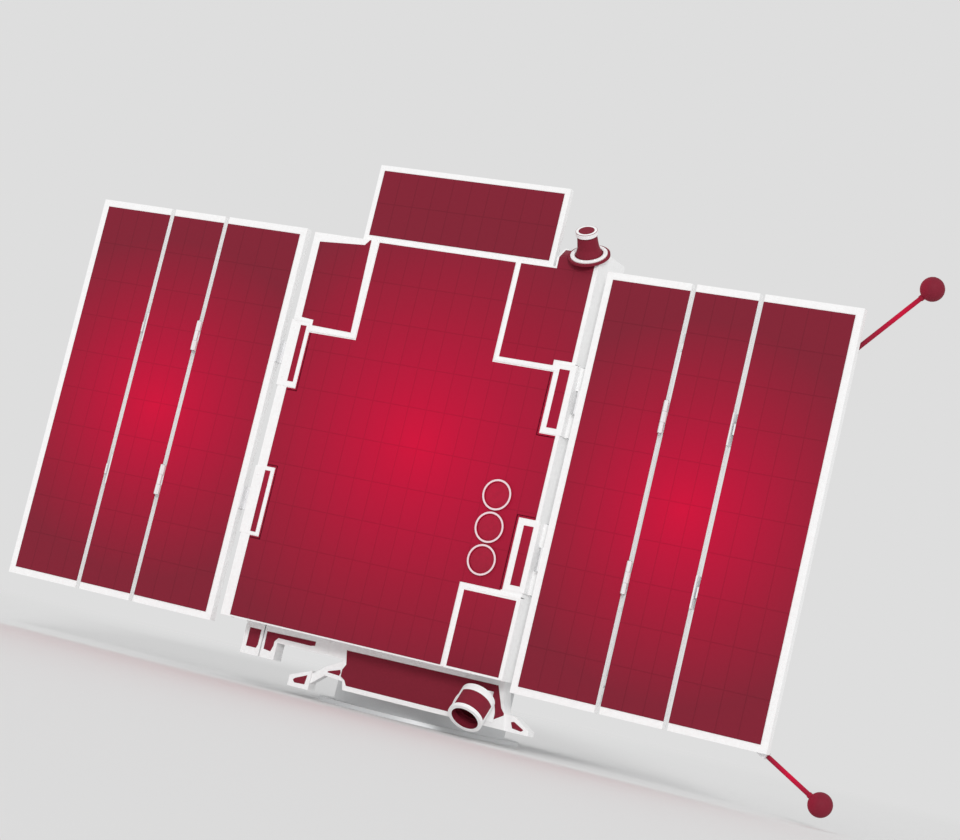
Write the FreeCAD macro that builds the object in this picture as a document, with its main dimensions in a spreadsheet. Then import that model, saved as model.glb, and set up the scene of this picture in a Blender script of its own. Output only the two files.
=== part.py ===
import FreeCAD, Part
import math
import operator
import os
from types import SimpleNamespace

import Sketcher

# A small science satellite standing on its launch adapter ring, solar wings deployed.
# Millimetres, +Z up, +X towards the wing that carries the probes, the cell faces look along -Y.
# The origin is the centre of the ring's lower flange, on the floor.

os.makedirs("parts", exist_ok=True)
doc = FreeCAD.newDocument("Satellite")
sheet = doc.addObject("Spreadsheet::Sheet", "Sizes")

# The driving dimensions. Names with Up are heights above the bottom deck, and names with Down are
# depths below the roof or the deck.
driving = {
    # bus
    "busWidth": 620,
    "busDepth": 624,
    "busHeight": 776,
    "skin": 20,
    # launch adapter ring
    "ringHeight": 120,
    "ringBoltCircle": 381,
    "ringBolts": 12,
    "ringBoltHole": 8.4,
    "ringFlangeWidth": 30,
    "ringFlange": 8,
    "ringWall": 4,
    # solar panels of body and wings
    "sheetThickness": 1,
    "bodyArray": 16,
    "frameMargin": 14,
    "lineMargin": 5,
    "sillMargin": 3,
    "leftFieldMargin": 22,
    "rightFieldMargin": 8,
    "coverGap": 2,
    # corner covers on the front
    "leftCoverWidth": 142,
    "leftCoverHeight": 194,
    "rightCoverWidth": 164,
    "rightCoverHeight": 191,
    "lowCoverWidth": 123,
    "lowCoverHeight": 154,
    # wings
    "wingGap": 20,
    "wingWidth": 499,
    "wingRise": 5,
    "wingDrop": 17,
    "wingPanel": 18,
    "narrowStrip": 175,
    "middleStrip": 132.5,
    "stripGap": 10,
    # wing hinges
    "hingeOffset": 5,
    "hingeLowUp": 231,
    "hingeHighDown": 246.5,
    "slotHeight": 134,
    "slotWidth": 40,
    "rootBarrel": 5,
    "rootPin": 2.5,
    "lineBarrel": 4.5,
    "linePin": 2,
    "lineHingeLength": 60,
    "pinClearance": 0.1,
    "knuckleGap": 0.5,
    "leaf": 3,
    "legReach": 34,
    # screen on the roof
    "screenGap": 13,
    "screenHeight": 156,
    "screenMargin": 11,
    "screenSill": 13,
    "screenThickness": 14,
    "gussetThickness": 6,
    "gussetReach": 84,
    "gussetHeight": 120,
    "gussetInset": 59,
    # antenna tower and cone antenna
    "towerWidth": 88,
    "towerRise": 42,
    "towerDepth": 116,
    "slopeDepth": 25,
    "antennaTilt": 43,
    "antennaInset": 30,
    "flangeRadius": 40,
    "flangeThickness": 4,
    "coneFoot": 26,
    "coneWaist": 20.5,
    "coneNeck": 18.5,
    "coneFlare": 16,
    "coneHeight": 42,
    "coneRim": 20.5,
    "coneRimHeight": 9,
    # three sensor apertures
    "apertureInset": 95,
    "apertureUp": 270,
    "aperturePitch": 62,
    "apertureRadius": 29.5,
    "apertureRing": 5,
    "apertureProud": 4,
    "apertureFloor": 1.5,
    # units under the bottom deck
    "ringClearance": 14.5,
    "unitDepth": 30,
    "unitInset": 17,
    "wideUnitWidth": 42,
    "narrowUnitWidth": 33,
    "unitGap": 3,
    "unitHeight": 64,
    "beamHeight": 30,
    "bayInset": 8,
    "bayLength": 352,
    "bayHeight": 88,
    "baySlant": 22,
    # baffled sensor
    "baffleFromEnd": 53,
    "baffleAhead": 30,
    "baffleDown": 38,
    "baffleTilt": 39,
    "baffleRadius": 34,
    "baffleWall": 3,
    "baffleLength": 57,
    "baffleFloor": 8,
    "baffleFoot": 30,
    # sensor head on its arm
    "headFromBay": 74,
    "headDown": 66,
    "headHeight": 38,
    "headNose": 21,
    "headLength": 47,
    "headDepth": 26,
    "armDown": 34,
    "armFoot": 38,
    "armWaistOut": 47,
    "armWaistDown": 51,
    "armWaist": 18,
    "armTipDown": 71,
    "armTip": 20,
    "armInset": 4,
    "armThickness": 16,
    # small wedge unit at the lower right corner
    "cornerHeight": 30,
    "cornerLedge": 22,
    "cornerLength": 48,
    "cornerTip": 9,
    "cornerInset": 2,
    # probes behind the right wing
    "probeRadius": 22,
    "probeRod": 4,
    "probeStandoff": 12,
    "probeReach": 103,
    "probeAbove": 57,
    "upperProbeAngle": 48.4,
    "probeBelow": 62,
    "lowerProbeAngle": 28.4,
    "probeClampInset": 17,
    "probeClampLength": 24,
    "probeClampWidth": 13,
    "probeTail": 8,
    # rubber pads that the folded wings rest near
    "padSize": 26,
    "padHeight": 9,
    "padInset": 80,
    "padFromFront": 110,
    "padSpacing": 90,
    # radiator on the back wall
    "radiatorInset": 70,
    "radiatorThickness": 6,
}

operations = {"+": operator.add, "-": operator.sub, "*": operator.mul, "/": operator.truediv}


class Size:
    # A number that keeps its formula, so that one expression both draws and binds.
    def __init__(self, value, formula):
        self.value = float(value)
        self.formula = formula

    def __add__(self, other):
        return combine(self, "+", other)

    def __radd__(self, other):
        return combine(other, "+", self)

    def __sub__(self, other):
        return combine(self, "-", other)

    def __rsub__(self, other):
        return combine(other, "-", self)

    def __mul__(self, other):
        return combine(self, "*", other)

    def __rmul__(self, other):
        return combine(other, "*", self)

    def __truediv__(self, other):
        return combine(self, "/", other)

    def __neg__(self):
        return combine(0, "-", self)


def asSize(number):
    if isinstance(number, Size):
        return number
    return Size(number, f"({number})")


def combine(first, sign, second):
    first = asSize(first)
    second = asSize(second)
    value = operations[sign](first.value, second.value)
    return Size(value, f"({first.formula} {sign} {second.formula})")


def fillSheet():
    named = {}
    for row, (name, value) in enumerate(driving.items(), start=1):
        sheet.set(f"A{row}", name)
        sheet.set(f"B{row}", str(value))
        sheet.setAlias(f"B{row}", name)
        named[name] = Size(value, f"Sizes.{name}")
    doc.recompute()
    return SimpleNamespace(**named)


def ofAngle(kind, degrees):
    # The sine, cosine or tangent of a size in degrees.
    degrees = asSize(degrees)
    return Size(getattr(math, kind)(math.radians(degrees.value)), f"{kind}({degrees.formula})")


s = fillSheet()
nodes = {}

# Places that several pieces share.
busHalf = s.busWidth / 2
deck = s.ringHeight
roof = deck + s.busHeight
structureFront = -s.busDepth / 2
frontPlane = structureFront - s.bodyArray
faceBack = frontPlane + s.sheetThickness
structureBack = s.busDepth / 2
wingInner = busHalf + s.wingGap
wingOuter = wingInner + s.wingWidth
wingLow = deck - s.wingDrop
wingHigh = roof + s.wingRise
wingBack = frontPlane + s.wingPanel
rootAxisX = busHalf + s.wingGap / 2
ringMiddle = s.ringBoltCircle / 2
ringOuter = ringMiddle + s.ringFlangeWidth / 2
ringWallOuter = ringMiddle - s.ringFlangeWidth / 2
ringInner = ringWallOuter - s.ringWall
unitBack = -(ringOuter + s.ringClearance)
unitFront = unitBack - s.unitDepth
bayRight = busHalf - s.bayInset
bayLeft = bayRight - s.bayLength
hingeHeights = (deck + s.hingeLowUp, roof - s.hingeHighDown)
octagonTurn = 22.5


def bind(thing, prop, size):
    thing.setExpression(prop, asSize(size).formula)


def keep(thing, label):
    thing.Label = label
    nodes[label] = thing
    return thing


def addBlock(name, low, high):
    box = doc.addObject("Part::Box", name)
    for side, prop, start, end in zip("xyz", ("Length", "Width", "Height"), low, high):
        bind(box, prop, end - start)
        bind(box, f"Placement.Base.{side}", start)
    return box


def addRod(name, radius, length, base, axis=(0, 0, 1), angle=0):
    rod = doc.addObject("Part::Cylinder", name)
    bind(rod, "Radius", radius)
    bind(rod, "Height", length)
    place(rod, base, axis, angle)
    return rod


def place(thing, base, axis=(0, 0, 1), angle=0):
    # The turn is about a fixed axis by a bound angle, then the piece moves to its base.
    thing.Placement = FreeCAD.Placement(FreeCAD.Vector(), FreeCAD.Rotation(FreeCAD.Vector(*axis), 10))
    bind(thing, "Placement.Rotation.Angle", angle)
    for side, value in zip("xyz", base):
        bind(thing, f"Placement.Base.{side}", value)


def fuse(name, pieces):
    joined = doc.addObject("Part::MultiFuse", name)
    joined.Shapes = pieces
    joined.Refine = True
    return joined


def cut(name, base, tool):
    result = doc.addObject("Part::Cut", name)
    result.Base = base
    result.Tool = tool
    return result


def group(name, pieces):
    compound = doc.addObject("Part::Compound", name)
    compound.Links = pieces
    return compound


def onSide(side, near, far):
    # The low and high ends of a stretch that lies on one side of the middle plane.
    if side > 0:
        return near, far
    return -far, -near


def addSketch(body, name, role, offset=0):
    sketch = body.newObject("Sketcher::SketchObject", name)
    plane = [item for item in body.Origin.OriginFeatures if item.Role == role][0]
    sketch.AttachmentSupport = (plane, [""])
    sketch.MapMode = "FlatFace"
    bind(sketch, "AttachmentOffset.Base.z", offset)
    return sketch


def pinPoint(sketch, edge, point, x, y):
    for kind, size in (("DistanceX", x), ("DistanceY", y)):
        size = asSize(size)
        index = sketch.addConstraint(Sketcher.Constraint(kind, -1, 1, edge, point, size.value))
        sketch.setExpression(f"Constraints[{index}]", size.formula)


def drawOutline(sketch, corners):
    # A closed outline of straight edges, with each corner bound to its sizes.
    points = [FreeCAD.Vector(asSize(x).value, asSize(y).value, 0) for x, y in corners]
    first = sketch.GeometryCount
    count = len(points)
    for index in range(count):
        sketch.addGeometry(Part.LineSegment(points[index], points[(index + 1) % count]), False)
    for index, (x, y) in enumerate(corners):
        before = first + (index - 1) % count
        sketch.addConstraint(Sketcher.Constraint("Coincident", before, 2, first + index, 1))
        pinPoint(sketch, first + index, 1, x, y)


def drawCircle(sketch, x, y, radius):
    centre = FreeCAD.Vector(asSize(x).value, asSize(y).value, 0)
    circle = Part.Circle(centre, FreeCAD.Vector(0, 0, 1), radius.value)
    edge = sketch.addGeometry(circle, False)
    pinPoint(sketch, edge, 3, x, y)
    index = sketch.addConstraint(Sketcher.Constraint("Radius", edge, radius.value))
    sketch.setExpression(f"Constraints[{index}]", radius.formula)


def rectangle(low, high):
    return [(low[0], low[1]), (high[0], low[1]), (high[0], high[1]), (low[0], high[1])]


def addBody(name):
    return doc.addObject("PartDesign::Body", name)


def addPad(body, sketch, length):
    pad = body.newObject("PartDesign::Pad", f"{sketch.Name}Pad")
    pad.Profile = sketch
    bind(pad, "Length", length)
    sketch.Visibility = False
    body.Tip = pad
    return pad


def addPocketThrough(body, sketch):
    # A cut both ways through the whole body, once the sketch has been worked out.
    doc.recompute()
    pocket = body.newObject("PartDesign::Pocket", f"{sketch.Name}Pocket")
    pocket.Profile = sketch
    pocket.Type = 1
    pocket.Midplane = True
    sketch.Visibility = False
    body.Tip = pocket
    return pocket


def upAxis(body):
    axis = [item for item in body.Origin.OriginFeatures if item.Role == "Z_Axis"][0]
    return (axis, [""])


def addRevolution(body, sketch):
    turned = body.newObject("PartDesign::Revolution", f"{sketch.Name}Turn")
    turned.Profile = sketch
    turned.ReferenceAxis = upAxis(body)
    turned.Angle = 360
    sketch.Visibility = False
    body.Tip = turned
    return turned


def addTurned(name, profile, base=(0, 0, 0), axis=(0, 0, 1), angle=0):
    # A turned piece: its profile is given as radius and height, and its own axis is local Z.
    body = addBody(name)
    sketch = addSketch(body, f"{name}Profile", "XZ_Plane")
    drawOutline(sketch, profile)
    addRevolution(body, sketch)
    place(body, base, axis, angle)
    return body


def addFrontPlate(name, front, back, outline):
    # A plate that faces the front, from an outline of x and z.
    body = addBody(name)
    sketch = addSketch(body, f"{name}Outline", "XZ_Plane", -back)
    drawOutline(sketch, outline)
    addPad(body, sketch, back - front)
    return body


def makeLaunchRing():
    # Two flanges and the shell between them. The lower flange has the circle of bolt holes.
    top = s.ringHeight
    lower = addBody("adapter_lower_flange")
    profile = addSketch(lower, "LowerFlangeProfile", "XZ_Plane")
    drawOutline(profile, rectangle((ringInner, 0), (ringOuter, s.ringFlange)))
    addRevolution(lower, profile)
    hole = addSketch(lower, "RingHole", "XY_Plane")
    drawCircle(hole, ringMiddle, 0, s.ringBoltHole / 2)
    pocket = addPocketThrough(lower, hole)
    pattern = lower.newObject("PartDesign::PolarPattern", "RingHolePattern")
    pattern.Originals = [pocket]
    pattern.Axis = upAxis(lower)
    pattern.Angle = 360
    bind(pattern, "Occurrences", s.ringBolts)
    lower.Tip = pattern
    keep(lower, "adapter_lower_flange")
    shell = rectangle((ringInner, s.ringFlange), (ringWallOuter, top - s.ringFlange))
    keep(addTurned("adapter_shell", shell), "adapter_shell")
    upper = rectangle((ringInner, top - s.ringFlange), (ringOuter, top))
    keep(addTurned("adapter_upper_flange", upper), "adapter_upper_flange")


def makeBusPanels():
    front = structureFront
    back = structureBack
    inner = busHalf - s.skin
    keep(addBlock("bottom_deck", (-busHalf, front, deck), (busHalf, back, deck + s.skin)), "bottom_deck")
    keep(addBlock("top_deck", (-busHalf, front, roof - s.skin), (busHalf, back, roof)), "top_deck")
    low = deck + s.skin
    high = roof - s.skin
    for label, side in (("right_wall", 1), ("left_wall", -1)):
        start, end = onSide(side, inner, busHalf)
        keep(addBlock(label, (start, front, low), (end, back, high)), label)
    keep(addBlock("front_wall", (-inner, front, low), (inner, front + s.skin, high)), "front_wall")
    keep(addBlock("back_wall", (-inner, back - s.skin, low), (inner, back, high)), "back_wall")
    side = busHalf - s.radiatorInset
    radiator = addBlock("rear_radiator", (-side, back, deck + s.radiatorInset),
                        (side, back + s.radiatorThickness, roof - s.radiatorInset))
    keep(radiator, "rear_radiator")


def coverBoxes(gap):
    # The three corner covers' places on the front, each grown by the gap on its inner edges.
    return (
        ((-busHalf, roof - s.leftCoverHeight - gap), (s.leftCoverWidth - busHalf + gap, roof)),
        ((busHalf - s.rightCoverWidth - gap, roof - s.rightCoverHeight - gap), (busHalf, roof)),
        ((busHalf - s.lowCoverWidth - gap, deck), (busHalf, deck + s.lowCoverHeight + gap)),
    )


def slotBoxes(side, gap):
    # The two hinge slots of one side edge, grown by the gap.
    boxes = []
    for middle in hingeHeights:
        start, end = onSide(side, busHalf - s.slotWidth - gap, busHalf)
        half = s.slotHeight / 2 + gap
        boxes.append(((start, middle - half), (end, middle + half)))
    return boxes


def cutAway(body, name, boxes):
    sketch = addSketch(body, name, "XZ_Plane", -frontPlane)
    for low, high in boxes:
        drawOutline(sketch, rectangle(low, high))
    addPocketThrough(body, sketch)


def makeBodyArray():
    # The body's own solar panel, cut away for the corner covers and the hinge brackets.
    whole = rectangle((-busHalf, deck), (busHalf, roof))
    panel = addFrontPlate("body_array", faceBack, structureFront, whole)
    cutAway(panel, "ArrayCovers", coverBoxes(s.coverGap))
    cutAway(panel, "ArraySlotsRight", slotBoxes(1, 0))
    cutAway(panel, "ArraySlotsLeft", slotBoxes(-1, 0))
    keep(panel, "body_array")
    field = rectangle((s.leftFieldMargin - busHalf, deck + s.sillMargin),
                      (busHalf - s.rightFieldMargin, roof - s.sillMargin))
    cells = addFrontPlate("body_cells", frontPlane, faceBack, field)
    cutAway(cells, "CellCovers", coverBoxes(s.coverGap + s.lineMargin))
    cutAway(cells, "CellSlotsRight", slotBoxes(1, s.lineMargin))
    cutAway(cells, "CellSlotsLeft", slotBoxes(-1, s.lineMargin))
    keep(cells, "body_cells")


def makeApertures():
    # Three round bezels on the cell face, each with its window's floor inside.
    inner = s.apertureRadius - s.apertureRing
    profile = [(0, 0), (s.apertureRadius, 0), (s.apertureRadius, s.apertureProud),
               (inner, s.apertureProud), (inner, s.apertureFloor), (0, s.apertureFloor)]
    rings = []
    for index, step in enumerate((-1, 0, 1)):
        base = (busHalf - s.apertureInset, frontPlane, deck + s.apertureUp + step * s.aperturePitch)
        rings.append(addTurned(f"ApertureRing{index}", profile, base, (1, 0, 0), 90))
    keep(group("aperture_rings", rings), "aperture_rings")


def makeCovers():
    # The upper covers are notched round the hinge brackets beside them.
    boxes = coverBoxes(0)
    left = addFrontPlate("left_cover", frontPlane, structureFront, rectangle(*boxes[0]))
    cutAway(left, "LeftCoverNotch", slotBoxes(-1, s.coverGap))
    keep(left, "left_cover")
    keep(addFrontPlate("low_cover", frontPlane, structureFront, rectangle(*boxes[2])), "low_cover")


def makeAntennaTower():
    # The upper right cover and the tower that stands on the deck behind its top are one housing.
    low, high = coverBoxes(0)[1]
    towerLeft = busHalf - s.towerWidth
    towerTop = roof + s.towerRise
    body = addFrontPlate("antenna_tower", frontPlane, structureFront, rectangle(low, high))
    side = addSketch(body, "TowerSide", "YZ_Plane", towerLeft)
    slopeFoot = towerTop - s.slopeDepth * ofAngle("tan", s.antennaTilt)
    drawOutline(side, [
        (frontPlane, roof), (frontPlane, slopeFoot), (frontPlane + s.slopeDepth, towerTop),
        (frontPlane + s.towerDepth, towerTop), (frontPlane + s.towerDepth, roof),
    ])
    doc.recompute()
    addPad(body, side, s.towerWidth)
    cutAway(body, "RightCoverNotch", slotBoxes(1, s.coverGap))
    keep(body, "antenna_tower")


def makeAntenna():
    # The flange lies on the middle of the tower's slope, and the flared cone stands on it.
    halfRise = s.slopeDepth * ofAngle("tan", s.antennaTilt) / 2
    base = (busHalf - s.antennaInset, frontPlane + s.slopeDepth / 2, roof + s.towerRise - halfRise)
    foot = s.flangeThickness
    disc = rectangle((0, 0), (s.flangeRadius, foot))
    keep(addTurned("antenna_flange", disc, base, (1, 0, 0), s.antennaTilt), "antenna_flange")
    neck = foot + s.coneHeight
    mouth = neck + s.coneRimHeight
    cone = addTurned("antenna_cone", [
        (0, foot), (s.coneFoot, foot), (s.coneWaist, foot + s.coneFlare), (s.coneNeck, neck),
        (s.coneRim, neck), (s.coneRim, mouth), (0, mouth)],
        base, (1, 0, 0), s.antennaTilt)
    keep(cone, "antenna_cone")


def makeScreen():
    # A flat screen on the roof's front edge, held by two gussets.
    half = busHalf - s.towerWidth - s.screenGap
    front = structureFront
    back = front + s.screenThickness
    top = roof + s.screenHeight
    whole = rectangle((-half, roof), (half, top))
    keep(addFrontPlate("top_screen", front + s.sheetThickness, back, whole), "top_screen")
    side = half - s.screenMargin
    field = rectangle((-side, roof + s.screenSill), (side, top - s.screenMargin))
    keep(addFrontPlate("top_screen_face", front, front + s.sheetThickness, field), "top_screen_face")
    gussets = []
    for index, side in enumerate((-1, 1)):
        body = addBody(f"Gusset{index}")
        middle = side * (half - s.gussetInset)
        sketch = addSketch(body, f"GussetSide{index}", "YZ_Plane", middle - s.gussetThickness / 2)
        drawOutline(sketch, [(back, roof), (back + s.gussetReach, roof), (back, roof + s.gussetHeight)])
        addPad(body, sketch, s.gussetThickness)
        gussets.append(body)
    keep(group("screen_gussets", gussets), "screen_gussets")


def onSlant(corner, down):
    # Where one of the bay's slanted ends lies at a depth below the deck, from its lower corner.
    return corner - s.baySlant * (s.bayHeight - down) / s.bayHeight


def makeLowerUnits():
    # Two small boxes, a beam and the instrument bay, all between two planes behind the front.
    start = s.unitInset - busHalf
    pair = []
    for index, width in enumerate((s.wideUnitWidth, s.narrowUnitWidth)):
        end = start + width
        pair.append(addBlock(f"LeftUnit{index}", (start, unitFront, deck - s.unitHeight), (end, unitBack, deck)))
        start = end + s.unitGap
    keep(group("left_units", pair), "left_units")
    low = deck - s.beamHeight
    beam = [(end, low), (onSlant(bayLeft, s.beamHeight), low), (onSlant(bayLeft, 0), deck), (end, deck)]
    keep(addFrontPlate("lower_beam", unitFront, unitBack, beam), "lower_beam")
    low = deck - s.bayHeight
    bay = [(bayLeft, low), (bayRight, low), (onSlant(bayRight, 0), deck), (onSlant(bayLeft, 0), deck)]
    keep(addFrontPlate("instrument_bay", unitFront, unitBack, bay), "instrument_bay")


def makeBaffle():
    # A cup that looks down and forward, carried by a foot on the bay's front.
    centre = (bayRight - s.baffleFromEnd, unitFront - s.baffleAhead, deck - s.baffleDown)
    turn = 180 - s.baffleTilt
    cup = addRod("BaffleBody", s.baffleRadius, s.baffleLength, centre, (1, 0, 0), turn)
    half = s.baffleFoot / 2
    foot = addBlock("BaffleFoot", (centre[0] - half, centre[1], centre[2] - half),
                    (centre[0] + half, unitFront, centre[2] + half))
    solid = fuse("BaffleSolid", [cup, foot])
    inner = s.baffleRadius - s.baffleWall
    bore = addTurned("BaffleBore", rectangle((0, s.baffleFloor), (inner, s.baffleLength)), centre, (1, 0, 0), turn)
    keep(cut("sensor_baffle", solid, bore), "sensor_baffle")


def makeHead():
    # A wedge-shaped housing that looks left, on a bracket arm from the bay's slanted left end.
    right = bayLeft - s.headFromBay
    left = right - s.headLength
    low = deck - s.headDown - s.headHeight
    housing = [(left, low), (right, low), (right, low + s.headHeight), (left, low + s.headNose)]
    keep(addFrontPlate("sensor_head", unitFront, unitFront + s.headDepth, housing), "sensor_head")
    waist = bayLeft - s.armWaistOut
    footLow = s.armDown + s.armFoot
    arm = [(onSlant(bayLeft, s.armDown), deck - s.armDown), (waist, deck - s.armWaistDown),
           (right, deck - s.armTipDown), (right, deck - s.armTipDown - s.armTip),
           (waist, deck - s.armWaistDown - s.armWaist), (onSlant(bayLeft, footLow), deck - footLow)]
    front = unitFront + s.armInset
    keep(addFrontPlate("sensor_arm", front, front + s.armThickness, arm), "sensor_arm")


def makeCornerUnit():
    # A small wedge on the bay's slanted right end.
    low = deck - s.bayHeight
    high = low + s.cornerHeight
    tip = bayRight + s.cornerLength
    shoulder = onSlant(bayRight, s.bayHeight - s.cornerHeight)
    wedge = [(bayRight, low), (tip, low), (tip, low + s.cornerTip), (shoulder + s.cornerLedge, high),
             (shoulder, high)]
    front = unitFront + s.cornerInset
    keep(addFrontPlate("corner_unit", front, unitBack - s.cornerInset, wedge), "corner_unit")


def addKnuckle(name, outline, low, high, axis=None, bore=None):
    # One knuckle of a hinge, padded upwards from its outline, with a bore for the pin where one passes.
    body = addBody(name)
    sketch = addSketch(body, f"{name}Outline", "XY_Plane", low)
    drawOutline(sketch, outline)
    if bore:
        drawCircle(sketch, axis[0], axis[1], bore)
    addPad(body, sketch, high - low)
    return body


def octagonHalves(barrel):
    # The two offsets of an octagon's corners whose corners lie on the barrel's circle.
    return barrel * ofAngle("cos", octagonTurn), barrel * ofAngle("sin", octagonTurn)


def hingeStretches(middle, length):
    # The outer two knuckles belong to the carrying side, the middle one to the carried side.
    third = length / 3
    outer = [(middle - length / 2, middle - third / 2 - s.knuckleGap),
             (middle + third / 2 + s.knuckleGap, middle + length / 2)]
    inner = [(middle - third / 2, middle + third / 2)]
    return outer, inner


def makeRootHinges(side, name):
    # Brackets in the body's slots, with a leg along the side wall and two knuckles each.
    axis = (side * rootAxisX, wingBack + s.hingeOffset)
    wide, narrow = octagonHalves(s.rootBarrel)
    wall = side * (busHalf + s.leaf)
    outline = [
        (wall, axis[1] - wide), (axis[0] + side * narrow, axis[1] - wide),
        (axis[0] + side * wide, axis[1] - narrow), (axis[0] + side * wide, axis[1] + narrow),
        (axis[0] + side * narrow, axis[1] + wide), (wall, axis[1] + wide),
    ]
    brackets = []
    pins = []
    for index, middle in enumerate(hingeHeights):
        outer, inner = hingeStretches(middle, s.slotHeight)
        low = middle - s.slotHeight / 2
        high = middle + s.slotHeight / 2
        tag = f"Root{name}{index}"
        plateX = onSide(side, busHalf - s.slotWidth, busHalf)
        legX = onSide(side, busHalf, busHalf + s.leaf)
        pieces = [
            addBlock(f"{tag}Plate", (plateX[0], frontPlane, low), (plateX[1], structureFront, high)),
            addBlock(f"{tag}Leg", (legX[0], frontPlane, low), (legX[1], structureFront + s.legReach, high)),
        ]
        for step, (start, end) in enumerate(outer):
            bore = s.rootPin + s.pinClearance
            pieces.append(addKnuckle(f"{tag}Knuckle{step}", outline, start, end, axis, bore))
        brackets.append(fuse(f"{tag}Whole", pieces))
        pins.append(addRod(f"{tag}Pin", s.rootPin, high - low, (axis[0], axis[1], low)))
    keep(group(f"root_bracket_{name}", brackets), f"root_bracket_{name}")
    keep(group(f"root_pins_{name}", pins), f"root_pins_{name}")


def makeFittings(label, side, axisAt, edge, inFront, barrel, length, pin=None, bore=None):
    # The hinge halves on one edge of a wing panel, at both hinge heights. A half with a pin is a fork
    # with its pin pressed in, and a half with a bore is the tongue between a fork's knuckles.
    axisY = frontPlane - s.hingeOffset if inFront else wingBack + s.hingeOffset
    toPanel = 1 if inFront else -1
    outwards = 1 if edge.value > axisAt.value else -1
    wide, narrow = octagonHalves(barrel)
    web = s.leaf * outwards
    reach = s.hingeOffset + s.leaf
    span = outwards * (edge - axisAt)
    corners = [(span, reach), (0, reach), (-wide, narrow), (-wide, -narrow), (-narrow, -wide),
               (narrow, -wide), (span, 0)]
    outline = [(side * (axisAt + outwards * u), axisY + toPanel * v) for u, v in corners]
    webX = onSide(side, *sorted((edge - web, edge), key=lambda size: size.value))
    axis = (side * axisAt, axisY)
    halves = []
    for index, middle in enumerate(hingeHeights):
        outer, inner = hingeStretches(middle, length)
        stretches = outer if pin else inner
        low = stretches[0][0]
        high = stretches[-1][1]
        tag = f"{label}{index}"
        pieces = [addBlock(f"{tag}Web", (webX[0], frontPlane, low), (webX[1], wingBack, high))]
        for step, (start, end) in enumerate(stretches):
            pieces.append(addKnuckle(f"{tag}Knuckle{step}", outline, start, end, axis, bore))
        if pin:
            pieces.append(addRod(f"{tag}Pin", pin, high - low, (axis[0], axis[1], low)))
        halves.append(fuse(f"{tag}Whole", pieces))
    return halves


def makeWing(side, name, firstStrip):
    # Three panels from the body outwards. The strips follow one order, left to right, on both wings.
    lineOne = wingInner + firstStrip
    lineTwo = lineOne + s.middleStrip
    half = s.stripGap / 2
    edges = {
        "inner": (wingInner, lineOne - half, s.frameMargin, 0),
        "middle": (lineOne + half, lineTwo - half, 0, 0),
        "outer": (lineTwo + half, wingOuter, 0, s.frameMargin),
    }
    for stage, (near, far, nearMargin, farMargin) in edges.items():
        start, end = onSide(side, near, far)
        panel = addBlock(f"wing_{name}_{stage}", (start, faceBack, wingLow), (end, wingBack, wingHigh))
        keep(panel, f"wing_{name}_{stage}")
        start, end = onSide(side, near + nearMargin, far - farMargin)
        cells = addBlock(f"cells_{name}_{stage}", (start, frontPlane, wingLow + s.frameMargin),
                         (end, faceBack, wingHigh - s.frameMargin))
        keep(cells, f"cells_{name}_{stage}")
    lineLength = s.lineHingeLength
    lineBore = s.linePin + s.pinClearance
    rootHalves = makeFittings(f"RootHalf{name}", side, rootAxisX, wingInner, False, s.rootBarrel,
                              s.slotHeight, bore=s.rootPin + s.pinClearance)
    lineOneNear = makeFittings(f"LineOneNear{name}", side, lineOne, lineOne - half, True, s.lineBarrel,
                               lineLength, pin=s.linePin)
    lineOneFar = makeFittings(f"LineOneFar{name}", side, lineOne, lineOne + half, True, s.lineBarrel,
                              lineLength, bore=lineBore)
    lineTwoNear = makeFittings(f"LineTwoNear{name}", side, lineTwo, lineTwo - half, False, s.lineBarrel,
                               lineLength, pin=s.linePin)
    lineTwoFar = makeFittings(f"LineTwoFar{name}", side, lineTwo, lineTwo + half, False, s.lineBarrel,
                              lineLength, bore=lineBore)
    keep(group(f"fittings_{name}_inner", rootHalves + lineOneNear), f"fittings_{name}_inner")
    keep(group(f"fittings_{name}_middle", lineOneFar + lineTwoNear), f"fittings_{name}_middle")
    keep(group(f"fittings_{name}_outer", lineTwoFar), f"fittings_{name}_outer")


def addLocalRod(name, radius, low, high, centre, tilt):
    # A rod along a probe's own axis, which leans from the vertical by the tilt.
    profile = [(0, low), (radius, low), (radius, high), (0, high)]
    return addTurned(name, profile, centre, (0, 1, 0), tilt)


def makeProbes():
    # Two ball probes on rods, clamped to the back of the right wing's outer panel.
    rodY = wingBack + s.probeStandoff
    ballX = wingOuter + s.probeReach
    probes = []
    clamps = []
    for index, (height, angle, lean) in enumerate((
            (wingHigh + s.probeAbove, s.upperProbeAngle, 90 - s.upperProbeAngle),
            (wingLow - s.probeBelow, s.lowerProbeAngle, 90 + s.lowerProbeAngle))):
        tag = f"Probe{index}"
        centre = (ballX, rodY, height)
        clampAt = (s.probeReach + s.probeClampInset) / ofAngle("cos", angle)
        tail = -(clampAt + s.probeClampLength / 2 + s.probeTail)
        ball = doc.addObject("Part::Sphere", f"{tag}Ball")
        bind(ball, "Radius", s.probeRadius)
        for side, value in zip("xyz", centre):
            bind(ball, f"Placement.Base.{side}", value)
        rod = addLocalRod(f"{tag}Rod", s.probeRod, tail, 0, centre, lean)
        probes.append(fuse(f"{tag}Solid", [ball, rod]))
        block = addClamp(f"{tag}Clamp", clampAt, centre, lean)
        hole = addLocalRod(f"{tag}Hole", s.probeRod + s.pinClearance, tail, 0, centre, lean)
        clamps.append(cut(f"{tag}Clamped", block, hole))
    keep(group("probes", probes), "probes")
    keep(group("probe_clamps", clamps), "probe_clamps")


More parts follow.
